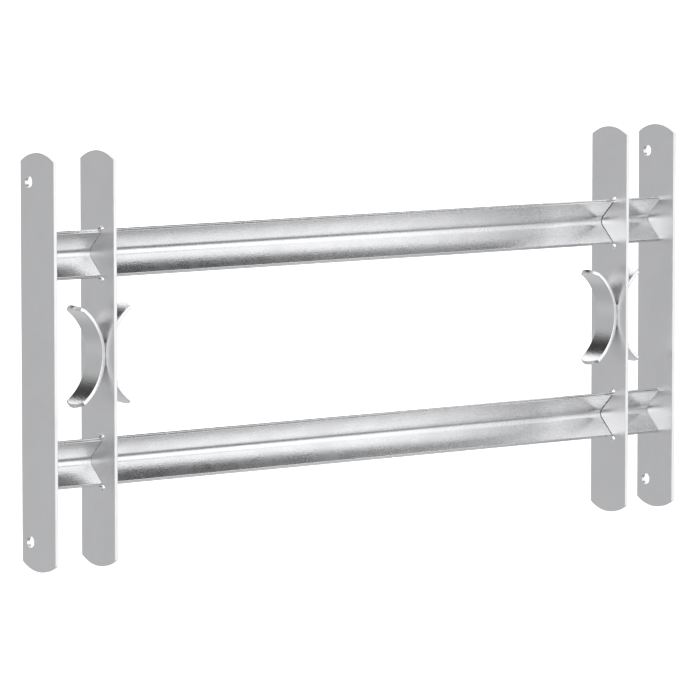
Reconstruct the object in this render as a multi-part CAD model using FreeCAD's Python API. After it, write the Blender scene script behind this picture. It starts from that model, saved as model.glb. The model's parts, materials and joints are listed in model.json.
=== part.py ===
import FreeCAD, Part
import math
import os

# Width-adjustable window security grille of zinc-plated steel, drawn closed.
#
# Frame: millimetres, +X along the width, +Y towards the window, +Z up. The origin is the middle of the closed
# grille. The rails are V angles whose mouth opens to the front (-Y).
#
# The grille is two welded halves that slide into each other along X. The fixed half is the left wall bar, the two
# front rails and the right inner bar with its bows. The sliding half is the right wall bar, the two back rails and
# the left inner bar with its bows. Each inner bar is slotted, so the rails of the other half run through it.

# ---------------------------------------------------------------- driving dimensions

# Upright bars
CLOSED_WIDTH = 600.0  # over the outer faces of the wall bars, closed
BAR_HEIGHT = 300.0
BAR_DEPTH = 40.0
BAR_THICKNESS = 3.0
BAR_END_RADIUS = 35.0  # curve of the rounded ends
BAR_EDGE_ROUND = 0.5
LEFT_GAP = 50.0  # clear, between the left wall bar and the left inner bar
RIGHT_GAP = 46.0  # clear, between the right inner bar and the right wall bar

# Wall-fixing holes, two in each wall bar
HOLE_DIAMETER = 8.5
HOLE_FROM_END = 21.0
HOLE_FROM_BACK = 10.0

# Rails: a front angle nested in a back angle, each bent from sheet
RAIL_SPACING = 150.0  # between the centre lines of the two rails
RAIL_RISE = 1.0  # how far the pair of rails sits above the middle of the bars
RAIL_LEG = 25.0  # outer leg of the back angle
RAIL_SHEET = 1.5
RAIL_BEND_RADIUS = 5.0  # inside the front angle
RAIL_FROM_BACK = 4.8  # from the back edge of the bars to the sharp outer corner of the back angle
RAIL_TIP_ROUND = 0.4

# Clearances
NEST_CLEARANCE = 0.3  # between the nested angles
SLOT_FRONT_CLEARANCE = 0.3  # from the slot to the inside of the front angle
SLOT_BACK_CLEARANCE = 0.7  # from the slot to the outside of the back angle
SLOT_END_CLEARANCE = 4.3  # past the tips of the angles
RAIL_END_CLEARANCE = 0.1  # from a rail's free end to the other half's wall bar

# Bows: strips bent to an arc, back to back on each inner bar
BOW_WIDTH = 20.0
BOW_THICKNESS = 3.0
BOW_OUTER_RADIUS = 42.0
BOW_HALF_ANGLE = 56.0  # degrees, from the middle of the arc to the shoulders of its rounded ends
BOW_END_RADIUS = 14.0
BOW_RISE = 3.0  # how far the bows sit above the middle of the bars

# Weld beads
RAIL_WELD_LEG = 2.5
RAIL_WELD_TOE = 0.4  # what is left of the bead's thickness at its far edge
RAIL_WELD_SETBACK = 3.0  # from the tips of the angle to the ends of the bead
BOW_WELD_NEAR = 5.0  # from the line where a bow touches its bar to the bead's two edges
BOW_WELD_FAR = 9.0

# ---------------------------------------------------------------- what follows from them

DIAGONAL = math.sqrt(0.5)  # the legs of the angles stand at 45 degrees
HALF_DEPTH = BAR_DEPTH / 2.0
HALF_HEIGHT = BAR_HEIGHT / 2.0
HALF_WIDTH = CLOSED_WIDTH / 2.0
EPSILON = 1.0  # how far a cutting tool reaches past what it cuts
TRIM_TOOL_LENGTH = 5.0 * BOW_THICKNESS  # of the tool that rounds a bow's end, so it clears the strip both ways

LEFT_WALL_X = -HALF_WIDTH  # each is the left face of its bar
LEFT_INNER_X = LEFT_WALL_X + BAR_THICKNESS + LEFT_GAP
RIGHT_WALL_X = HALF_WIDTH - BAR_THICKNESS
RIGHT_INNER_X = RIGHT_WALL_X - RIGHT_GAP - BAR_THICKNESS

BACK_RAIL_Y = HALF_DEPTH - RAIL_FROM_BACK  # sharp outer corner of the back angle
NEST_PITCH = RAIL_SHEET + NEST_CLEARANCE
FRONT_RAIL_Y = BACK_RAIL_Y - NEST_PITCH / DIAGONAL
FRONT_RAIL_LEG = RAIL_LEG - NEST_PITCH
BACK_BEND_RADIUS = RAIL_BEND_RADIUS + NEST_PITCH
RAIL_HEIGHTS = {
    "upper": RAIL_RISE + RAIL_SPACING / 2.0,
    "lower": RAIL_RISE - RAIL_SPACING / 2.0,
}


def rounded_wire(points, radii):
    """Returns a closed wire through points in the YZ plane, with the corner at each point rounded by its radius."""
    corners = [FreeCAD.Vector(0, y, z) for y, z in points]
    stretches = []
    for i, corner in enumerate(corners):
        radius = radii[i]
        if radius <= 0:
            stretches.append((corner, None, corner))
            continue
        towards_last = (corners[i - 1] - corner).normalize()
        towards_next = (corners[(i + 1) % len(corners)] - corner).normalize()
        half_angle = towards_last.getAngle(towards_next) / 2.0
        setback = radius / math.tan(half_angle)
        bisector = (towards_last + towards_next).normalize()
        middle = corner + bisector * (radius / math.sin(half_angle) - radius)
        stretches.append((corner + towards_last * setback, middle, corner + towards_next * setback))
    edges = []
    for i, (start, middle, end) in enumerate(stretches):
        if middle is not None:
            edges.append(Part.Arc(start, middle, end).toShape())
        next_start = stretches[(i + 1) % len(stretches)][0]
        edges.append(Part.LineSegment(end, next_start).toShape())
    return Part.Wire(edges)


def angle_wire(corner_y, height, leg, sheet, bend_radius, tip_round):
    """Returns the outline of a V angle in the YZ plane, mouth to -Y, with its sharp outer corner at corner_y."""
    tip = leg * DIAGONAL
    step = sheet * DIAGONAL
    points = [
        (corner_y, height),
        (corner_y - tip, height + tip),
        (corner_y - tip - step, height + tip - step),
        (corner_y - 2.0 * step, height),
        (corner_y - tip - step, height - tip + step),
        (corner_y - tip, height - tip),
    ]
    outer_radius = bend_radius + sheet
    return rounded_wire(points, [outer_radius, tip_round, tip_round, bend_radius, tip_round, tip_round])


def extruded(wire, x_start, x_end):
    """Returns the solid that a wire in the YZ plane sweeps from x_start to x_end."""
    face = Part.Face(wire)
    face.translate(FreeCAD.Vector(x_start, 0, 0))
    return face.extrude(FreeCAD.Vector(x_end - x_start, 0, 0))


# ---------------------------------------------------------------- upright bars


def bar_blank(x_left):
    """Returns a flat bar with rounded ends and broken edges, standing on its narrow side."""
    shoulder = HALF_HEIGHT - BAR_END_RADIUS + math.sqrt(BAR_END_RADIUS**2 - HALF_DEPTH**2)
    back_top = FreeCAD.Vector(x_left, HALF_DEPTH, shoulder)
    front_top = FreeCAD.Vector(x_left, -HALF_DEPTH, shoulder)
    front_bottom = FreeCAD.Vector(x_left, -HALF_DEPTH, -shoulder)
    back_bottom = FreeCAD.Vector(x_left, HALF_DEPTH, -shoulder)
    top = FreeCAD.Vector(x_left, 0, HALF_HEIGHT)
    bottom = FreeCAD.Vector(x_left, 0, -HALF_HEIGHT)
    outline = Part.Wire(
        [
            Part.Arc(back_top, top, front_top).toShape(),
            Part.LineSegment(front_top, front_bottom).toShape(),
            Part.Arc(front_bottom, bottom, back_bottom).toShape(),
            Part.LineSegment(back_bottom, back_top).toShape(),
        ]
    )
    blank = Part.Face(outline).extrude(FreeCAD.Vector(BAR_THICKNESS, 0, 0))
    rim = [edge for edge in blank.Edges if edge.BoundBox.XLength < BAR_EDGE_ROUND]
    return blank.makeFillet(BAR_EDGE_ROUND, rim)


def wall_bar(x_left):
    """Returns an upright with its two wall-fixing holes."""
    bar = bar_blank(x_left)
    for side in (1, -1):
        foot = FreeCAD.Vector(
            x_left - EPSILON, HALF_DEPTH - HOLE_FROM_BACK, side * (HALF_HEIGHT - HOLE_FROM_END)
        )
        drill = Part.makeCylinder(
            HOLE_DIAMETER / 2.0, BAR_THICKNESS + 2.0 * EPSILON, foot, FreeCAD.Vector(1, 0, 0)
        )
        bar = bar.cut(drill)
    return bar


def slot_wire(height):
    """Returns the outline of the V slot that one nested pair of rails runs through."""
    corner_y = BACK_RAIL_Y + SLOT_BACK_CLEARANCE / DIAGONAL
    leg = RAIL_LEG + SLOT_BACK_CLEARANCE + SLOT_END_CLEARANCE
    pack = RAIL_SHEET + NEST_PITCH
    slot_width = SLOT_FRONT_CLEARANCE + pack + SLOT_BACK_CLEARANCE
    bend_radius = RAIL_BEND_RADIUS - SLOT_FRONT_CLEARANCE
    return angle_wire(corner_y, height, leg, slot_width, bend_radius, 0)


def inner_bar(x_left):
    """Returns an upright with a V slot for each pair of rails."""
    bar = bar_blank(x_left)
    for height in RAIL_HEIGHTS.values():
        bar = bar.cut(extruded(slot_wire(height), x_left - EPSILON, x_left + BAR_THICKNESS + EPSILON))
    return bar


# ---------------------------------------------------------------- rails


def front_rail(height):
    """Returns a front angle, welded to the left wall bar and free at its right end."""
    wire = angle_wire(FRONT_RAIL_Y, height, FRONT_RAIL_LEG, RAIL_SHEET, RAIL_BEND_RADIUS, RAIL_TIP_ROUND)
    return extruded(wire, LEFT_WALL_X + BAR_THICKNESS, RIGHT_WALL_X - RAIL_END_CLEARANCE)


def back_rail(height):
    """Returns a back angle, welded to the right wall bar and free at its left end."""
    wire = angle_wire(BACK_RAIL_Y, height, RAIL_LEG, RAIL_SHEET, BACK_BEND_RADIUS, RAIL_TIP_ROUND)
    return extruded(wire, LEFT_WALL_X + BAR_THICKNESS + RAIL_END_CLEARANCE, RIGHT_WALL_X)


# ---------------------------------------------------------------- bows


def bow_point(x_face, side, radius, angle):
    """Returns the point of a bow's front side face at a radius and an angle (degrees) up from where it touches."""
    centre_x = x_face + side * BOW_OUTER_RADIUS
    turn = math.radians(angle)
    x = centre_x - side * radius * math.cos(turn)
    return FreeCAD.Vector(x, -BOW_WIDTH / 2.0, BOW_RISE + radius * math.sin(turn))


def bow(x_face, side):
    """Returns a bow whose back touches a bar's face at x_face, standing out towards side (+1 right, -1 left)."""
    inner_radius = BOW_OUTER_RADIUS - BOW_THICKNESS
    middle_radius = BOW_OUTER_RADIUS - BOW_THICKNESS / 2.0
    end_rise = BOW_END_RADIUS - math.sqrt(BOW_END_RADIUS**2 - (BOW_WIDTH / 2.0) ** 2)
    reach = BOW_HALF_ANGLE + math.degrees(end_rise / middle_radius)
    untrimmed = reach + math.degrees(EPSILON / middle_radius)
    outer = [bow_point(x_face, side, BOW_OUTER_RADIUS, angle) for angle in (-untrimmed, 0, untrimmed)]
    inner = [bow_point(x_face, side, inner_radius, angle) for angle in (untrimmed, 0, -untrimmed)]
    outline = Part.Wire(
        [
            Part.Arc(*outer).toShape(),
            Part.LineSegment(outer[2], inner[0]).toShape(),
            Part.Arc(*inner).toShape(),
            Part.LineSegment(inner[2], outer[0]).toShape(),
        ]
    )
    strip = Part.Face(outline).extrude(FreeCAD.Vector(0, BOW_WIDTH, 0))
    for angle in (reach, -reach):
        strip = strip.cut(end_trim(x_face, side, middle_radius, angle))
    return strip


def end_trim(x_face, side, middle_radius, angle):
    """Returns the tool that rounds the end of a bow at an angle, its curve seen square to the strip."""
    block = Part.makeBox(
        TRIM_TOOL_LENGTH,
        BOW_WIDTH + 2.0 * EPSILON,
        BOW_END_RADIUS + 2.0 * EPSILON,
        FreeCAD.Vector(-TRIM_TOOL_LENGTH / 2.0, -BOW_WIDTH / 2.0 - EPSILON, -BOW_END_RADIUS),
    )
    disc = Part.makeCylinder(
        BOW_END_RADIUS,
        TRIM_TOOL_LENGTH,
        FreeCAD.Vector(-TRIM_TOOL_LENGTH / 2.0, 0, -BOW_END_RADIUS),
        FreeCAD.Vector(1, 0, 0),
    )
    tool = block.cut(disc)
    # The tool is drawn for the middle of the strip, with +Z towards its end. It is tipped over to point down for a
    # lower end, leant with the arc and moved out to the end of the strip.
    origin = FreeCAD.Vector(0, 0, 0)
    if angle < 0:
        tool.rotate(origin, FreeCAD.Vector(1, 0, 0), 180)
    tool.rotate(origin, FreeCAD.Vector(0, 1, 0), side * angle)
    end_point = bow_point(x_face, side, middle_radius, angle)
    tool.translate(FreeCAD.Vector(end_point.x, 0, end_point.z))
    return tool


def bow_weld(x_face, side, end):
    """Returns the bead that fills the wedge between a bow and its bar, above (+1) or below (-1) where they touch."""
    near, far = [math.degrees(math.asin(distance / BOW_OUTER_RADIUS)) for distance in (BOW_WELD_NEAR, BOW_WELD_FAR)]
    on_bow = [
        bow_point(x_face, side, BOW_OUTER_RADIUS, end * angle) for angle in (near, (near + far) / 2.0, far)
    ]
    foot_near = FreeCAD.Vector(x_face, -BOW_WIDTH / 2.0, on_bow[0].z)
    foot_far = FreeCAD.Vector(x_face, -BOW_WIDTH / 2.0, on_bow[2].z)
    outline = Part.Wire(
        [
            Part.LineSegment(foot_near, on_bow[0]).toShape(),
            Part.Arc(*on_bow).toShape(),
            Part.LineSegment(on_bow[2], foot_far).toShape(),
            Part.LineSegment(foot_far, foot_near).toShape(),
        ]
    )
    return Part.Face(outline).extrude(FreeCAD.Vector(0, BOW_WIDTH, 0))


# ---------------------------------------------------------------- rail welds


def rail_weld(wires, x_face, side):
    """Returns a bead that leans from a bar's face at x_face out along a rail, thick at the bar and thin at its toe."""
    thick, thin = wires
    thick.translate(FreeCAD.Vector(x_face, 0, 0))
    thin.translate(FreeCAD.Vector(x_face + side * RAIL_WELD_LEG, 0, 0))
    return Part.makeLoft([thick, thin], True, True)


def inside_weld(height, x_face, side):
    """Returns the bead in the mouth of a front angle."""
    corner_y = FRONT_RAIL_Y - RAIL_SHEET / DIAGONAL
    leg = FRONT_RAIL_LEG - RAIL_SHEET - RAIL_WELD_SETBACK
    wires = [
        angle_wire(corner_y, height, leg, depth, RAIL_BEND_RADIUS - depth, 0)
        for depth in (RAIL_WELD_LEG, RAIL_WELD_TOE)
    ]
    return rail_weld(wires, x_face, side)


def outside_weld(height, x_face, side):
    """Returns the bead along the back of a back angle."""
    leg = RAIL_LEG - RAIL_WELD_SETBACK
    radius = BACK_BEND_RADIUS + RAIL_SHEET
    wires = [
        angle_wire(BACK_RAIL_Y + depth / DIAGONAL, height, leg + depth, depth, radius, 0)
        for depth in (RAIL_WELD_LEG, RAIL_WELD_TOE)
    ]
    return rail_weld(wires, x_face, side)


# ---------------------------------------------------------------- the whole grille


def build():
    """Returns every node's name and shape."""
    nodes = {
        "left_wall_bar": wall_bar(LEFT_WALL_X),
        "right_wall_bar": wall_bar(RIGHT_WALL_X),
        "left_inner_bar": inner_bar(LEFT_INNER_X),
        "right_inner_bar": inner_bar(RIGHT_INNER_X),
    }
    for level, height in RAIL_HEIGHTS.items():
        nodes[level + "_front_rail"] = front_rail(height)
        nodes[level + "_back_rail"] = back_rail(height)
        nodes[level + "_left_wall_weld"] = inside_weld(height, LEFT_WALL_X + BAR_THICKNESS, 1)
        nodes[level + "_right_inner_weld"] = inside_weld(height, RIGHT_INNER_X + BAR_THICKNESS, 1)
        nodes[level + "_right_wall_weld"] = outside_weld(height, RIGHT_WALL_X, -1)
        nodes[level + "_left_inner_weld"] = outside_weld(height, LEFT_INNER_X + BAR_THICKNESS, 1)
    bows = {
        "left_outer_bow": (LEFT_INNER_X, -1),
        "left_middle_bow": (LEFT_INNER_X + BAR_THICKNESS, 1),
        "right_middle_bow": (RIGHT_INNER_X, -1),
        "right_outer_bow": (RIGHT_INNER_X + BAR_THICKNESS, 1),
    }
    for name, (x_face, side) in bows.items():
        nodes[name] = bow(x_face, side)
        nodes[name + "_upper_weld"] = bow_weld(x_face, side, 1)
        nodes[name + "_lower_weld"] = bow_weld(x_face, side, -1)
    return nodes


os.makedirs("parts", exist_ok=True)
for node, shape in build().items():
    if not shape.isValid() or len(shape.Solids) != 1:
        raise RuntimeError(node + " is not one valid solid")
    shape.Solids[0].exportStep(os.path.join("parts", node + ".step"))
    print(node, round(shape.Volume / 1000.0, 3), "cm3")
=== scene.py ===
"""Looks of the width-adjustable window security grille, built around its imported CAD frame.

Everything is in metres in the frame's own axes: +X along the width, +Y towards the window, +Z up.
The upright bars keep their CAD shape and get a plated finish. The rails, the bows and the weld beads
are modelled again here with finer bends and broken edges, each in the place of its CAD node.
"""

import json
import logging
import math
import random
from dataclasses import dataclass
from enum import Enum

import bmesh
import bpy
from mathutils import Matrix, Vector

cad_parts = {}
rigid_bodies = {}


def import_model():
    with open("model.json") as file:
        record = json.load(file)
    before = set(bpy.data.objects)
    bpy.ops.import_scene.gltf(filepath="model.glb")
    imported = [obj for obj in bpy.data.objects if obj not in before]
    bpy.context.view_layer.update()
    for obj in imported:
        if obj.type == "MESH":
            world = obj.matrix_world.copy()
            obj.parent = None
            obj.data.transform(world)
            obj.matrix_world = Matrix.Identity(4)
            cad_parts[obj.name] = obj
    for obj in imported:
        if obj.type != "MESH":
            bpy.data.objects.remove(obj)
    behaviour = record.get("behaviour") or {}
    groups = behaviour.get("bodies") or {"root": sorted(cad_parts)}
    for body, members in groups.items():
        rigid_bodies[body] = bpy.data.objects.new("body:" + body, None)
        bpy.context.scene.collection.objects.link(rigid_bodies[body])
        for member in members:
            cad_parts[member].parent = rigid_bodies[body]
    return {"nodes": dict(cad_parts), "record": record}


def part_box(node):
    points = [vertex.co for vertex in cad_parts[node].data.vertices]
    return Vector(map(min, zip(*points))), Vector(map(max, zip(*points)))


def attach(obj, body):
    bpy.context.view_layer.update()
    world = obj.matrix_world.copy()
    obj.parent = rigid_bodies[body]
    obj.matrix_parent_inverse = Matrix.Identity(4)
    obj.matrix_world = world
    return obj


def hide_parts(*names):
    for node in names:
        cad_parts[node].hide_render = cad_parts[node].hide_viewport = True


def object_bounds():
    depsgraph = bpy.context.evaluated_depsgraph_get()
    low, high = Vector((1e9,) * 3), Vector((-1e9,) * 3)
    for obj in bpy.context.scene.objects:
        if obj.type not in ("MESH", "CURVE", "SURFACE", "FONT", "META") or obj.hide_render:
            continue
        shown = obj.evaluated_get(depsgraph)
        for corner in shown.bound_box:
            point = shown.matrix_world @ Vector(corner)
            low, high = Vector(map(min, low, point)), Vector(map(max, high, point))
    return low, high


LOG = logging.getLogger("grille")
MM = 0.001
TINY = 0.01 * MM  # places closer than this count as the same
SHARP = 1.0  # an edge that turns more than this, in radians, is a corner
DIAGONAL = math.sqrt(0.5)  # the legs of the V rails stand at 45 degrees
WHITE = (1.0, 1.0, 1.0, 1.0)
LEVELS = ("upper", "lower")

# Each rail of a nested pair, with its leg and the radius inside its bend.
RAILS = {
    "front_rail": {"leg": 23.2 * MM, "inner_bend": 5.0 * MM},
    "back_rail": {"leg": 25.0 * MM, "inner_bend": 6.8 * MM},
}

# Each bow, and the side of its upright that it stands on: -1 to the left, 1 to the right.
BOWS = {"left_outer_bow": -1, "left_middle_bow": 1, "right_middle_bow": -1, "right_outer_bow": 1}

# Each bead between a rail and a bar: its place, the way along X that it reaches from the bar's face,
# and whether it lies in the V's mouth or along its back.
RAIL_WELDS = (
    ("left_wall", 1, True),
    ("right_inner", 1, True),
    ("right_wall", -1, False),
    ("left_inner", 1, False),
)


def clear_start_up_objects() -> None:
    """Removes the objects that a new Blender file starts with."""
    for item in list(bpy.data.objects):
        bpy.data.objects.remove(item, do_unlink=True)


clear_start_up_objects()
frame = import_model()
CAD_LOW, CAD_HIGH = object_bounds()
BODIES = frame["record"]["behaviour"]["bodies"]
BODY_OF = {node: body for body, nodes in BODIES.items() for node in nodes}


# ------------------------------------------------------------------------------------ shader writing


class Term:
    """A shader value that Python's operators combine by adding Math nodes."""

    def __init__(self, graph: "Graph", socket: bpy.types.NodeSocket | None) -> None:
        """Wraps an output socket.

        Args:
            graph: The graph that new nodes are added to.
            socket: The output socket that carries the value, or None after a node without outputs.
        """
        self.graph = graph
        self.socket = socket

    def _with(self, operation: str, *others: "Term | float", clamp: bool = False) -> "Term":
        """Adds a Math node.

        Args:
            operation: Its operation.
            others: The values after this one.
            clamp: Whether the result stays between 0 and 1.

        Returns:
            The node's result.
        """
        settings = {"operation": operation, "use_clamp": clamp}
        return self.graph.node("ShaderNodeMath", settings, {0: self, **dict(enumerate(others, 1))})

    def __add__(self, other: "Term | float") -> "Term":
        """Returns the sum."""
        return self._with("ADD", other)

    __radd__ = __add__

    def __mul__(self, other: "Term | float") -> "Term":
        """Returns the product."""
        return self._with("MULTIPLY", other)

    __rmul__ = __mul__

    def __sub__(self, other: "Term | float") -> "Term":
        """Returns the difference."""
        return self._with("SUBTRACT", other)

    def __rsub__(self, other: float) -> "Term":
        """Returns a number less this value."""
        return (self * -1.0) + other

    def clamped(self) -> "Term":
        """Returns the value held between 0 and 1."""
        return self._with("ADD", 0.0, clamp=True)

    def ease(self, low: float, high: float) -> "Term":
        """Returns a soft step.

        Args:
            low: The value where the step is 0.
            high: The value where the step is 1.

        Returns:
            The step, between 0 and 1.
        """
        settings = {"interpolation_type": "SMOOTHSTEP"}
        inputs = {"Value": self, 1: low, 2: high, 3: 0.0, 4: 1.0}
        return self.graph.node("ShaderNodeMapRange", settings, inputs)


class Graph:
    """A node tree that is written one node at a time."""

    def __init__(self, tree: bpy.types.NodeTree) -> None:
        """Takes over a tree and empties it.

        Args:
            tree: The node tree.
        """
        self.tree = tree
        self.tree.nodes.clear()

    def node(
        self,
        kind: str,
        settings: dict[str, object] | None = None,
        inputs: dict[str | int, object] | None = None,
        output: str | int = 0,
    ) -> Term:
        """Adds any node.

        Args:
            kind: The node's type.
            settings: Its own properties, set before its sockets.
            inputs: The value or the link of each socket, by name or number.
            output: The output that is wanted.

        Returns:
            That output.
        """
        made = self.tree.nodes.new(kind)
        for name, value in (settings or {}).items():
            setattr(made, name, value)
        for name, value in (inputs or {}).items():
            if isinstance(value, Term):
                self.tree.links.new(value.socket, made.inputs[name])
            else:
                made.inputs[name].default_value = value
        if isinstance(output, str):
            return Term(self, made.outputs[output])
        outputs = [socket for socket in made.outputs if socket.enabled]
        return Term(self, outputs[output] if outputs else None)

    def place(self) -> Term:
        """Returns the point's place on its own object."""
        return self.node("ShaderNodeTexCoord", output="Object")

    def stretched(self, place: Term, scale: tuple[float, float, float]) -> Term:
        """Returns a place scaled by a different amount along each axis."""
        return self.node("ShaderNodeVectorMath", {"operation": "MULTIPLY"}, {0: place, 1: scale})

    def split(self, vector: Term) -> tuple[Term, Term, Term]:
        """Splits a vector.

        Args:
            vector: The vector.

        Returns:
            Its three parts.
        """
        made = self.tree.nodes.new("ShaderNodeSeparateXYZ")
        self.tree.links.new(vector.socket, made.inputs[0])
        return tuple(Term(self, socket) for socket in made.outputs)

    def along(self, vector: Term, direction: tuple[float, float, float]) -> Term:
        """Measures how far a vector points along a direction.

        Args:
            vector: The vector.
            direction: The direction, of any length.

        Returns:
            The measure, 1 where a unit vector points straight along it.
        """
        unit = Vector(direction).normalized()
        inputs = {0: vector, 1: tuple(unit)}
        return self.node("ShaderNodeVectorMath", {"operation": "DOT_PRODUCT"}, inputs, output="Value")

    def noise(self, place: Term, scale: float, detail: float = 2.0, roughness: float = 0.5) -> Term:
        """Returns a cloudy pattern.

        Args:
            place: Where the pattern is read.
            scale: How many clouds there are to the metre.
            detail: How many finer layers it has.
            roughness: How strong those layers are.

        Returns:
            The pattern, about 0.5.
        """
        inputs = {"Vector": place, "Scale": scale, "Detail": detail, "Roughness": roughness}
        return self.node("ShaderNodeTexNoise", {"noise_dimensions": "3D"}, inputs)

    def mix(self, share: Term | float, first: object, second: object) -> Term:
        """Returns one colour blended into another.

        Args:
            share: How much of the second there is.
            first: The first colour.
            second: The second colour.

        Returns:
            The blended colour.
        """
        made = self.tree.nodes.new("ShaderNodeMix")
        made.data_type = "RGBA"
        for socket, value in ((made.inputs[0], share), (made.inputs[6], first), (made.inputs[7], second)):
            if isinstance(value, Term):
                self.tree.links.new(value.socket, socket)
            else:
                socket.default_value = value
        return Term(self, made.outputs[2])


# ------------------------------------------------------------------------------------------ finishes


class Grain(Enum):
    """The way the strip was rolled, as how far the grain is drawn out along X, Y and Z."""

    ALONG_X = (0.02, 1.0, 1.0)
    ALONG_Z = (1.0, 1.0, 0.02)


@dataclass(frozen=True)
class ZincPlate:
    """Bright zinc plating on rolled steel strip."""

    name: str
    grain: Grain
    colour: tuple[float, float, float] = (0.935, 0.935, 0.94)
    dull_colour: tuple[float, float, float] = (0.89, 0.89, 0.895)
    polish: float = 0.13
    dullness: float = 0.10
    grain_per_metre: float = 1800.0
    cloud_per_metre: float = 45.0
    fleck_per_metre: float = 1100.0
    grain_depth: float = 0.010 * MM
    fleck_depth: float = 0.05 * MM
    fleck_gloss: float = 0.04
    grain_layers: tuple[float, float] = (3.0, 0.6)
    grain_edge: tuple[float, float] = (0.3, 0.7)
    grain_share: float = 0.3
    cloud_layers: tuple[float, float] = (4.0, 0.6)
    cloud_edge: tuple[float, float] = (0.35, 0.75)
    cloud_share: float = 0.5
    handling_size: float = 0.35
    handling_layers: tuple[float, float] = (6.0, 0.7)
    handling_edge: tuple[float, float] = (0.52, 0.72)
    handling_share: float = 0.35

    def material(self) -> bpy.types.Material:
        """Makes the finish: dull clouds, rolled streaks and marks of handling over a flecked polish.

        Returns:
            The finished material.
        """
        made = bpy.data.materials.new(self.name)
        made.use_nodes = True
        graph = Graph(made.node_tree)
        place = graph.place()
        drawn_out = graph.stretched(place, self.grain.value)
        streaks = graph.noise(drawn_out, self.grain_per_metre, *self.grain_layers)
        clouds = graph.noise(place, self.cloud_per_metre, *self.cloud_layers)
        flecks = graph.noise(place, self.fleck_per_metre, 1.0)
        marks = graph.noise(place, self.cloud_per_metre * self.handling_size, *self.handling_layers)
        dull = clouds.ease(*self.cloud_edge) * self.cloud_share
        dull = dull + streaks.ease(*self.grain_edge) * self.grain_share
        dull = (dull + marks.ease(*self.handling_edge) * self.handling_share).clamped()
        colour = graph.mix(dull, (*self.colour, 1.0), (*self.dull_colour, 1.0))
        roughness = dull * self.dullness + (flecks - 0.5) * self.fleck_gloss + self.polish
        grained = graph.node(
            "ShaderNodeBump",
            None,
            {"Strength": 1.0, "Distance": self.grain_depth, "Height": streaks},
        )
        flecked = graph.node(
            "ShaderNodeBump",
            None,
            {"Strength": 1.0, "Distance": self.fleck_depth, "Height": flecks, "Normal": grained},
        )
        surface = graph.node(
            "ShaderNodeBsdfPrincipled",
            None,
            {"Base Color": colour, "Metallic": 1.0, "Roughness": roughness, "Normal": flecked},
        )
        graph.node("ShaderNodeOutputMaterial", None, {"Surface": surface})
        return made


@dataclass(frozen=True)
class PlatedWeld:
    """A weld bead that was plated over: rippled, a little scorched and duller than the strip."""

    name: str = "plated_weld"
    colour: tuple[float, float, float] = (0.66, 0.665, 0.67)
    scorched: tuple[float, float, float] = (0.36, 0.34, 0.31)
    polish: float = 0.28
    scorch_per_metre: float = 260.0
    scorch_layers: tuple[float, float] = (3.0, 0.6)
    scorch_edge: tuple[float, float] = (0.45, 0.7)
    scorch_share: float = 0.7
    scorch_dullness: float = 0.22
    pit_per_metre: float = 1500.0
    pit_depth: float = 0.05 * MM
    pit_dullness: float = 0.1

    def material(self) -> bpy.types.Material:
        """Makes the finish: scorched patches and fine pits.

        Returns:
            The finished material.
        """
        made = bpy.data.materials.new(self.name)
        made.use_nodes = True
        graph = Graph(made.node_tree)
        place = graph.place()
        scorch = graph.noise(place, self.scorch_per_metre, *self.scorch_layers).ease(*self.scorch_edge)
        pits = graph.noise(place, self.pit_per_metre)
        colour = graph.mix(scorch * self.scorch_share, (*self.colour, 1.0), (*self.scorched, 1.0))
        pitted = graph.node(
            "ShaderNodeBump",
            None,
            {"Strength": 1.0, "Distance": self.pit_depth, "Height": pits},
        )
        surface = graph.node(
            "ShaderNodeBsdfPrincipled",
            None,
            {
                "Base Color": colour,
                "Metallic": 1.0,
                "Roughness": scorch * self.scorch_dullness + pits * self.pit_dullness + self.polish,
                "Normal": pitted,
            },
        )
        graph.node("ShaderNodeOutputMaterial", None, {"Surface": surface})
        return made


# -------------------------------------------------------------------------------------- mesh helpers


def finish_piece(
    mesh: bmesh.types.BMesh,
    node: str,
    material: bpy.types.Material,
    smooth_angle: float,
) -> bpy.types.Object:
    """Turns a mesh into the piece that stands for a CAD node.

    Args:
        mesh: The mesh, in place. It is freed.
        node: The CAD node it stands for.
        material: Its finish.
        smooth_angle: Edges that turn less than this are shaded smooth, in degrees.

    Returns:
        The piece.
    """
    limit = math.radians(smooth_angle)
    for edge in mesh.edges:
        edge.smooth = len(edge.link_faces) == 2 and edge.calc_face_angle(math.pi) < limit
    for face in mesh.faces:
        face.smooth = True
    data = bpy.data.meshes.new(node + ".look")
    mesh.to_mesh(data)
    mesh.free()
    data.materials.append(material)
    piece = bpy.data.objects.new(node + ".look", data)
    bpy.context.scene.collection.objects.link(piece)
    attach(piece, BODY_OF[node])
    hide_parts(node)
    return piece


def centre_of(node: str) -> Vector:
    """Returns the middle of a CAD node's box."""
    low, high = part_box(node)
    return (low + high) / 2.0


def seat_in_box(mesh: bmesh.types.BMesh, node: str) -> None:
    """Moves a mesh so that the middle of its box is the middle of a CAD node's box.

    Args:
        mesh: The mesh.
        node: The CAD node.
    """
    places = [vertex.co for vertex in mesh.verts]
    low = Vector(min(place[axis] for place in places) for axis in range(3))
    high = Vector(max(place[axis] for place in places) for axis in range(3))
    bmesh.ops.translate(mesh, verts=mesh.verts[:], vec=centre_of(node) - (low + high) / 2.0)


def round_edges(
    mesh: bmesh.types.BMesh,
    edges: list[bmesh.types.BMEdge],
    radius: float,
    segments: int,
) -> None:
    """Rounds edges.

    Args:
        mesh: The mesh.
        edges: The edges.
        radius: The radius, on a square corner.
        segments: How many faces the round has.
    """
    bmesh.ops.bevel(
        mesh,
        geom=edges,
        offset=radius,
        segments=segments,
        profile=0.5,
        affect="EDGES",
        material=-1,
    )


# ------------------------------------------------------------------------------------ sub-assemblies


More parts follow.
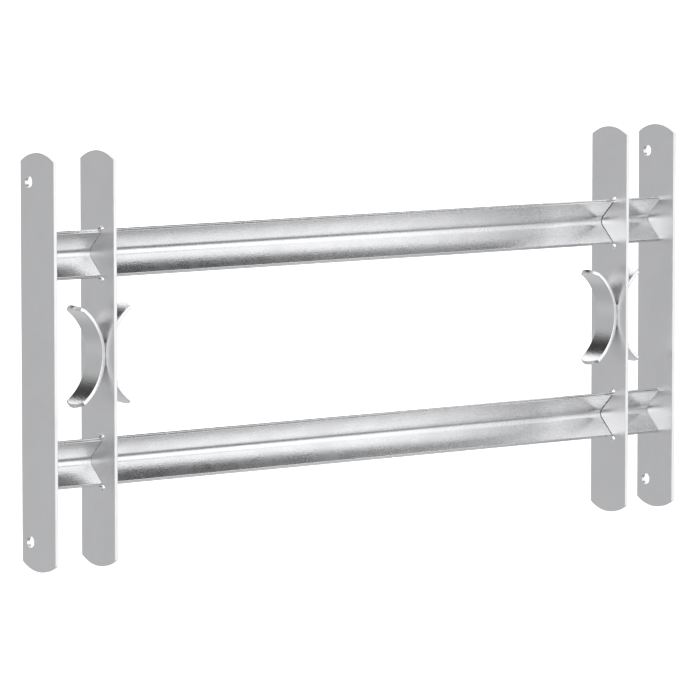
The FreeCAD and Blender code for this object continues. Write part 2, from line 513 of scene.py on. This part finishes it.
@dataclass
class Uprights:
    """The four flat bars that stand edge-on to the front. They keep their CAD shape."""

    nodes: tuple[str, ...] = ("left_wall_bar", "left_inner_bar", "right_inner_bar", "right_wall_bar")
    finish: ZincPlate = ZincPlate("plated_bar", Grain.ALONG_Z, polish=0.28, dullness=0.08)

    def dress(self) -> list[bpy.types.Object]:
        """Gives the bars their plating.

        Returns:
            The bars.
        """
        material = self.finish.material()
        bars = [frame["nodes"][node] for node in self.nodes]
        for bar in bars:
            bar.material_slots[0].material = material
        return bars


@dataclass
class VRail:
    """A V-shaped rail, bent from sheet, with its mouth to the front."""

    node: str
    leg: float
    inner_bend: float
    sheet: float = 1.5 * MM
    tip_round: float = 0.4 * MM
    cut_round: float = 0.12 * MM
    bend_segments: int = 14
    tip_segments: int = 4
    cut_segments: int = 2
    smooth_angle: float = 30.0

    def build(self) -> bmesh.types.BMesh:
        """Bends the sheet: a V drawn along X, with its bend, tips and cut ends rounded.

        Returns:
            The rail, seated in its CAD node's box.
        """
        low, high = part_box(self.node)
        tip = self.leg * DIAGONAL
        step = self.sheet * DIAGONAL
        section = (
            (0.0, 0.0),
            (-tip, tip),
            (-tip - step, tip - step),
            (-2.0 * step, 0.0),
            (-tip - step, step - tip),
            (-tip, -tip),
        )
        mesh = bmesh.new()
        corners = [mesh.verts.new((low.x, y, z)) for y, z in section]
        cap = mesh.faces.new(corners)
        swept = bmesh.ops.extrude_face_region(mesh, geom=[cap])
        moved = [item for item in swept["geom"] if isinstance(item, bmesh.types.BMVert)]
        bmesh.ops.translate(mesh, verts=moved, vec=(high.x - low.x, 0.0, 0.0))
        bmesh.ops.recalc_face_normals(mesh, faces=mesh.faces[:])
        self._bend(mesh, 0.0, self.inner_bend + self.sheet)
        self._bend(mesh, -2.0 * step, self.inner_bend)
        below_tips = tip - 1.5 * step
        tips = [edge for edge in self._long_edges(mesh) if abs(edge.verts[0].co.z) > below_tips]
        round_edges(mesh, tips, self.tip_round, self.tip_segments)
        ends = [
            edge
            for edge in mesh.edges
            if abs(edge.verts[0].co.x - edge.verts[1].co.x) < TINY and edge.calc_face_angle(0.0) > SHARP
        ]
        round_edges(mesh, ends, self.cut_round, self.cut_segments)
        seat_in_box(mesh, self.node)
        return mesh

    @staticmethod
    def _long_edges(mesh: bmesh.types.BMesh) -> list[bmesh.types.BMEdge]:
        """Returns the edges that run the length of the rail."""
        return [edge for edge in mesh.edges if abs(edge.verts[0].co.x - edge.verts[1].co.x) > MM]

    def _bend(self, mesh: bmesh.types.BMesh, y: float, radius: float) -> None:
        """Rounds one side of the bend.

        Args:
            mesh: The rail.
            y: Where the sharp corner is.
            radius: The bend's radius on that side.
        """
        corner = [
            edge
            for edge in self._long_edges(mesh)
            if abs(edge.verts[0].co.y - y) < TINY and abs(edge.verts[0].co.z) < TINY
        ]
        round_edges(mesh, corner, radius, self.bend_segments)

    def dress(self, material: bpy.types.Material) -> bpy.types.Object:
        """Returns the finished rail."""
        return finish_piece(self.build(), self.node, material, self.smooth_angle)


@dataclass
class Bow:
    """A strip with rounded ends, bent to an arc whose back touches an upright."""

    node: str
    outwards: int
    width: float = 20.0 * MM
    thickness: float = 3.0 * MM
    outer_radius: float = 42.0 * MM
    half_angle: float = 56.0
    end_radius: float = 14.0 * MM
    edge_round: float = 0.45 * MM
    cells_across: int = 20
    cells_along: int = 72
    edge_segments: int = 4
    smooth_angle: float = 40.0

    def build(self) -> bmesh.types.BMesh:
        """Cuts the flat strip with its rounded ends, breaks its edges and bends it.

        Returns:
            The bow, seated in its CAD node's box.
        """
        middle_radius = self.outer_radius - self.thickness / 2.0
        shoulder = math.radians(self.half_angle) * middle_radius
        mesh = bmesh.new()
        bmesh.ops.create_grid(
            mesh,
            x_segments=self.cells_across,
            y_segments=self.cells_along,
            size=0.5,
            matrix=Matrix(),
        )
        flat_end = math.sqrt(self.end_radius**2 - (self.width / 2.0) ** 2)
        for vertex in mesh.verts:
            across = vertex.co.x * self.width
            rise = math.sqrt(self.end_radius**2 - across**2) - flat_end
            along = 2.0 * vertex.co.y * (shoulder + rise)
            vertex.co = (-self.thickness / 2.0, across, along)
        swept = bmesh.ops.extrude_face_region(mesh, geom=mesh.faces[:])
        moved = [item for item in swept["geom"] if isinstance(item, bmesh.types.BMVert)]
        bmesh.ops.translate(mesh, verts=moved, vec=(self.thickness, 0.0, 0.0))
        bmesh.ops.recalc_face_normals(mesh, faces=mesh.faces[:])
        rim = [edge for edge in mesh.edges if edge.calc_face_angle(0.0) > SHARP]
        round_edges(mesh, rim, self.edge_round, self.edge_segments)
        for vertex in mesh.verts:
            turn = vertex.co.z / middle_radius
            radius = middle_radius + vertex.co.x
            vertex.co.x = -self.outwards * radius * math.cos(turn)
            vertex.co.z = radius * math.sin(turn)
        bmesh.ops.recalc_face_normals(mesh, faces=mesh.faces[:])
        seat_in_box(mesh, self.node)
        return mesh

    def dress(self, material: bpy.types.Material) -> bpy.types.Object:
        """Returns the finished bow."""
        return finish_piece(self.build(), self.node, material, self.smooth_angle)


@dataclass(frozen=True)
class Station:
    """A step along a bead: the corner's place, and the directions of the section's two sides."""

    place: Vector
    first: Vector
    second: Vector


@dataclass
class Bead:
    """A weld bead, laid in overlapping ripples along a corner between two pieces."""

    node: str
    seed: int
    ripple_pitch: float = 1.2 * MM
    ripple_depth: float = 0.10
    wander: float = 0.05
    taper: float = 1.4 * MM
    end_size: float = 0.55
    step: float = 0.3 * MM
    smooth_angle: float = 50.0

    def build(self) -> bmesh.types.BMesh:
        """Lays the bead. Each kind of bead does it in its own way."""
        raise NotImplementedError

    def dress(self, material: bpy.types.Material) -> bpy.types.Object:
        """Returns the finished bead."""
        return finish_piece(self.build(), self.node, material, self.smooth_angle)

    def lay(self, stations: list[Station], section: list[tuple[float, float]]) -> bmesh.types.BMesh:
        """Draws a section along a path, swelling and narrowing it from ripple to ripple.

        Args:
            stations: The steps along the path.
            section: The section's outline. Its first point is the corner itself.

        Returns:
            The closed bead.
        """
        draw = random.Random(self.seed)
        lengths = [0.0]
        for last, here in zip(stations, stations[1:]):
            lengths.append(lengths[-1] + (here.place - last.place).length)
        mesh = bmesh.new()
        cap = mesh.faces.new([mesh.verts.new() for _ in section])
        for number, station in enumerate(stations):
            if number:
                swept = bmesh.ops.extrude_face_region(mesh, geom=[cap])
                if number > 1:
                    bmesh.ops.delete(mesh, geom=[cap], context="FACES_ONLY")
                cap = next(item for item in swept["geom"] if isinstance(item, bmesh.types.BMFace))
            run = lengths[number]
            ripple = 1.0 - (run / self.ripple_pitch) % 1.0
            swell = 1.0 + self.ripple_depth * (ripple - 0.5) + draw.uniform(-self.wander, self.wander)
            from_end = min(run, lengths[-1] - run, self.taper) / self.taper
            fullness = math.sqrt(1.0 - (1.0 - from_end) ** 2)
            size = swell * (self.end_size + (1.0 - self.end_size) * fullness)
            for vertex, (out, over) in zip(cap.verts, section):
                vertex.co = station.place + (station.first * out + station.second * over) * size
        bmesh.ops.recalc_face_normals(mesh, faces=mesh.faces[:])
        return mesh


@dataclass
class RailWeld(Bead):
    """The bead between a V rail and a bar, in the rail's mouth or along its back."""

    side: int = 1
    in_mouth: bool = True
    leg: float = 2.3 * MM
    cad_leg: float = 2.5 * MM
    mouth_bend: float = 5.0 * MM
    back_bend: float = 8.3 * MM
    bend_steps: int = 24
    crown: float = 0.86
    crown_turns: tuple[int, ...] = (20, 45, 70)

    def stations(self) -> list[Station]:
        """Follows the V of the rail's face.

        Returns:
            The steps, from the V's upper tip round its bend to its lower tip.
        """
        low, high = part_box(self.node)
        bend = self.mouth_bend if self.in_mouth else self.back_bend
        proud = 0.0 if self.in_mouth else self.cad_leg
        reach = (high.z - low.z) / 2.0 * math.sqrt(2.0) - proud
        centre_y = high.y - proud - bend
        x_face = low.x if self.side > 0 else high.x
        middle = (low.z + high.z) / 2.0
        straight = reach - bend
        count = math.ceil(straight / self.step)
        runs = [(straight * (1.0 - i / count), 1) for i in range(count)]
        turns = [math.radians(45.0 - 90.0 * i / self.bend_steps) for i in range(self.bend_steps + 1)]
        towards = Vector((self.side, 0.0, 0.0))
        centre = Vector((x_face, centre_y, middle))
        steps = []
        for along, sign in runs + [(None, 0)] + [(along, -1) for along, _ in reversed(runs)]:
            angles = turns if sign == 0 else [sign * math.radians(45.0)]
            for angle in angles:
                normal = Vector((0.0, math.cos(angle), math.sin(angle)))
                place = centre + normal * bend
                if sign:
                    place += Vector((0.0, -1.0, sign)).normalized() * along
                steps.append(Station(place, towards, -normal if self.in_mouth else normal))
        return steps

    def build(self) -> bmesh.types.BMesh:
        """Lays a bead with a low rounded crown.

        Returns:
            The bead.
        """
        angles = [math.radians(turn) for turn in self.crown_turns]
        crown = [(math.cos(angle) * self.crown, math.sin(angle) * self.crown) for angle in angles]
        outline = [(0.0, 0.0), (1.0, 0.0), *crown, (0.0, 1.0)]
        section = [(out * self.leg, over * self.leg) for out, over in outline]
        return self.lay(self.stations(), section)


@dataclass
class BowWeld(Bead):
    """The bead in the wedge between a bow and its upright."""

    outwards: int = 1
    above: int = 1
    bow_radius: float = 42.0 * MM
    near: float = 5.0 * MM
    crown: float = 0.35 * MM
    sunk: float = 0.05 * MM

    def build(self) -> bmesh.types.BMesh:
        """Lays a bead that fills the wedge across the strip's width.

        Returns:
            The bead.
        """
        low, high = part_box(self.node)
        x_face = low.x if self.outwards > 0 else high.x
        depth = high.z - low.z
        root_z = low.z if self.above > 0 else high.z
        count = math.ceil((high.y - low.y) / self.step)
        first = Vector((self.outwards, 0.0, 0.0))
        second = Vector((0.0, 0.0, self.above))
        stations = [
            Station(Vector((x_face, low.y + (high.y - low.y) * i / count, root_z)), first, second)
            for i in range(count + 1)
        ]
        gaps = [
            self.bow_radius - math.sqrt(self.bow_radius**2 - (self.near + share * depth) ** 2) + self.sunk
            for share in (0.0, 0.5, 1.0)
        ]
        section = [
            (0.0, 0.0),
            (0.0, depth),
            (gaps[2] * 0.5, depth + self.crown),
            (gaps[2], depth),
            (gaps[1], depth * 0.5),
            (gaps[0], 0.0),
        ]
        return self.lay(stations, section)


# -------------------------------------------------------------------------------------------- studio


@dataclass(frozen=True)
class Surroundings:
    """What the plating reflects: grey walls, a bright front, darkness overhead and two light boxes.

    Each edge is where a part fades in, first nothing of it and then all. Seen from the grille, across
    points to the right, along to the back and up to the top.
    """

    tint: tuple[float, float, float] = (0.985, 0.99, 1.0)
    wall: float = 0.47
    right_lift: float = 0.08
    right_edge: tuple[float, float] = (-0.1, 0.5)
    low_lift: float = 0.05
    low_edge: tuple[float, float] = (0.02, 0.2)
    shade_towards: tuple[float, float, float] = (-0.30, 0.77, -0.58)
    shade_edge: tuple[float, float] = (0.93, 0.99)
    shade_depth: float = 0.2
    front: float = 1.22
    front_edge: tuple[float, float] = (0.1, 0.45)
    front_foot_edge: tuple[float, float] = (0.11, 0.36)
    lower_left_drop: float = 0.46
    left_edge: tuple[float, float] = (0.0, 0.5)
    horizon_edge: tuple[float, float] = (-0.06, 0.06)
    below: float = 0.2
    below_front_edge: tuple[float, float] = (0.0, 0.4)
    below_edge: tuple[float, float] = (0.2, 0.6)
    far_right_edge: tuple[float, float] = (0.72, 0.90)
    far_right_depth: float = 0.85
    ceiling: float = 0.03
    back_ceiling_edge: tuple[float, float] = (0.30, 0.56)
    front_ceiling_edge: tuple[float, float] = (0.58, 0.80)
    ceiling_turn_edge: tuple[float, float] = (0.1, 0.3)
    back_box: float = 1.12
    back_box_lean: float = 0.8
    back_box_edge: tuple[float, float] = (0.63, 0.70)
    back_box_front_edge: tuple[float, float] = (0.0, 0.15)
    side_box: float = 1.2
    side_box_towards: tuple[float, float, float] = (-0.60, -0.20, 0.77)
    side_box_edge: tuple[float, float] = (0.80, 0.86)

    @staticmethod
    def _laid_over(level: Term, share: Term, other: Term | float) -> Term:
        """Returns a brightness with another laid over a share of it."""
        return level * (1.0 - share) + share * other

    def _room(self, graph: Graph, look: Term) -> Term:
        """Sets the walls, the bright front and the dark foot of the room.

        Args:
            graph: The world's graph.
            look: The direction that is looked in.

        Returns:
            The brightness.
        """
        across, along, up = graph.split(look)
        down, forwards = up * -1.0, along * -1.0
        level = self.wall + self.right_lift * across.ease(*self.right_edge)
        level = level + down.ease(*self.low_edge) * self.low_lift
        shade = graph.along(look, self.shade_towards).ease(*self.shade_edge)
        level = level * (1.0 - shade * self.shade_depth)
        front = forwards.ease(*self.front_edge) * (1.0 - down.ease(*self.front_foot_edge))
        lower_left = (across * -1.0).ease(*self.left_edge) * down.ease(*self.horizon_edge)
        level = self._laid_over(level, front, self.front - self.lower_left_drop * lower_left)
        below = forwards.ease(*self.below_front_edge) * down.ease(*self.below_edge)
        level = self._laid_over(level, below, self.below)
        return level * (1.0 - across.ease(*self.far_right_edge) * self.far_right_depth)

    def level(self, graph: Graph, look: Term) -> Term:
        """Hangs the dark ceiling and the two light boxes in the room.

        Args:
            graph: The world's graph.
            look: The direction that is looked in.

        Returns:
            The brightness.
        """
        across, along, up = graph.split(look)
        level = self._room(graph, look)
        back, front = up.ease(*self.back_ceiling_edge), up.ease(*self.front_ceiling_edge)
        ceiling = back + (front - back) * (along * -1.0).ease(*self.ceiling_turn_edge)
        level = self._laid_over(level, ceiling, self.ceiling)
        back_box = (across * self.back_box_lean + up).ease(*self.back_box_edge)
        back_box = back_box * along.ease(*self.back_box_front_edge)
        level = self._laid_over(level, back_box, self.back_box)
        side_box = graph.along(look, self.side_box_towards).ease(*self.side_box_edge)
        return self._laid_over(level, side_box, self.side_box)


@dataclass
class Studio:
    """The floor, the surroundings and the camera."""

    azimuth: float = -39.51
    elevation: float = 5.47
    distance: float = 4.0256
    lens: float = 279.46
    sensor: float = 36.0
    aim_offset: tuple[float, float, float] = (-13.93 * MM, 0.0, -6.36 * MM)
    far_clip: float = 100.0
    floor_size: float = 60.0
    floor_colour: tuple[float, float, float] = (0.85, 0.85, 0.85)
    floor_roughness: float = 0.9
    floor_glow: float = 0.95
    background: float = 1.0
    surroundings: Surroundings = Surroundings()

    def build(self) -> None:
        """Builds the whole studio."""
        self._floor()
        self._surroundings()
        self._camera()
        scene = bpy.context.scene
        scene.view_settings.view_transform = "Standard"
        scene.view_settings.look = "None"

    def _floor(self) -> None:
        """Adds the pale floor under the bars' lower ends."""
        mesh = bmesh.new()
        bmesh.ops.create_grid(mesh, x_segments=1, y_segments=1, size=self.floor_size / 2.0)
        bmesh.ops.translate(mesh, verts=mesh.verts[:], vec=(0.0, 0.0, CAD_LOW.z))
        data = bpy.data.meshes.new("floor")
        mesh.to_mesh(data)
        mesh.free()
        floor = bpy.data.objects.new("floor", data)
        bpy.context.scene.collection.objects.link(floor)
        material = bpy.data.materials.new("pale_floor")
        material.use_nodes = True
        graph = Graph(material.node_tree)
        surface = graph.node(
            "ShaderNodeBsdfPrincipled",
            None,
            {
                "Base Color": (*self.floor_colour, 1.0),
                "Roughness": self.floor_roughness,
                "Emission Color": WHITE,
                "Emission Strength": self.floor_glow,
            },
        )
        graph.node("ShaderNodeOutputMaterial", None, {"Surface": surface})
        data.materials.append(material)
        floor.visible_glossy = False

    def _surroundings(self) -> None:
        """Sets the surroundings that the plating reflects, and the plain backdrop that the camera sees."""
        world = bpy.data.worlds.new("studio")
        bpy.context.scene.world = world
        world.use_nodes = True
        graph = Graph(world.node_tree)
        look = graph.node("ShaderNodeTexCoord", output="Generated")
        level = self.surroundings.level(graph, look)
        lit = {"Color": (*self.surroundings.tint, 1.0), "Strength": level}
        reflected = graph.node("ShaderNodeBackground", None, lit)
        seen = graph.node("ShaderNodeBackground", None, {"Color": WHITE, "Strength": self.background})
        camera_ray = graph.node("ShaderNodeLightPath", output="Is Camera Ray")
        both = graph.node("ShaderNodeMixShader", None, {0: camera_ray, 1: reflected, 2: seen})
        graph.node("ShaderNodeOutputWorld", None, {"Surface": both})

    def _camera(self) -> None:
        """Places the camera in front of the grille, to the left of it and a little above."""
        data = bpy.data.cameras.new("camera")
        data.sensor_width = self.sensor
        data.lens = self.lens
        data.clip_end = self.far_clip
        camera = bpy.data.objects.new("camera", data)
        bpy.context.scene.collection.objects.link(camera)
        turn, rise = math.radians(self.azimuth), math.radians(self.elevation)
        back = Vector((math.sin(turn) * math.cos(rise), -math.cos(turn) * math.cos(rise), math.sin(rise)))
        aim = (CAD_LOW + CAD_HIGH) / 2.0 + Vector(self.aim_offset)
        camera.location = aim + back * self.distance
        camera.rotation_mode = "QUATERNION"
        camera.rotation_quaternion = (-back).to_track_quat("-Z", "Y")
        bpy.context.scene.camera = camera


def main() -> None:
    """Builds the studio and the grille's looks and reports each piece."""
    logging.basicConfig(level=logging.INFO, format="%(name)s: %(message)s")
    Studio().build()
    pieces = Uprights().dress()
    coarse = {"fleck_per_metre": 900.0, "fleck_depth": 0.10 * MM}
    rail_plate = ZincPlate("plated_rail", Grain.ALONG_X, polish=0.24, **coarse).material()
    for level in LEVELS:
        for rail, sizes in RAILS.items():
            pieces.append(VRail(f"{level}_{rail}", **sizes).dress(rail_plate))
    bow_plate = ZincPlate("plated_bow", Grain.ALONG_Z, polish=0.18, **coarse).material()
    for node, outwards in BOWS.items():
        pieces.append(Bow(node, outwards).dress(bow_plate))
    weld_plate = PlatedWeld().material()
    rail_welds = [
        (f"{level}_{place}_weld", RailWeld, {"side": side, "in_mouth": in_mouth})
        for level in LEVELS
        for place, side, in_mouth in RAIL_WELDS
    ]
    bow_welds = [
        (f"{node}_{end}_weld", BowWeld, {"outwards": outwards, "above": above})
        for node, outwards in BOWS.items()
        for end, above in (("upper", 1), ("lower", -1))
    ]
    for seed, (node, kind, options) in enumerate(rail_welds + bow_welds, 1):
        pieces.append(kind(node, seed, **options).dress(weld_plate))
    for piece in pieces:
        LOG.info("%s: %d faces, %s", piece.name, len(piece.data.polygons), piece.active_material.name)


if __name__ == "__main__":
    main()
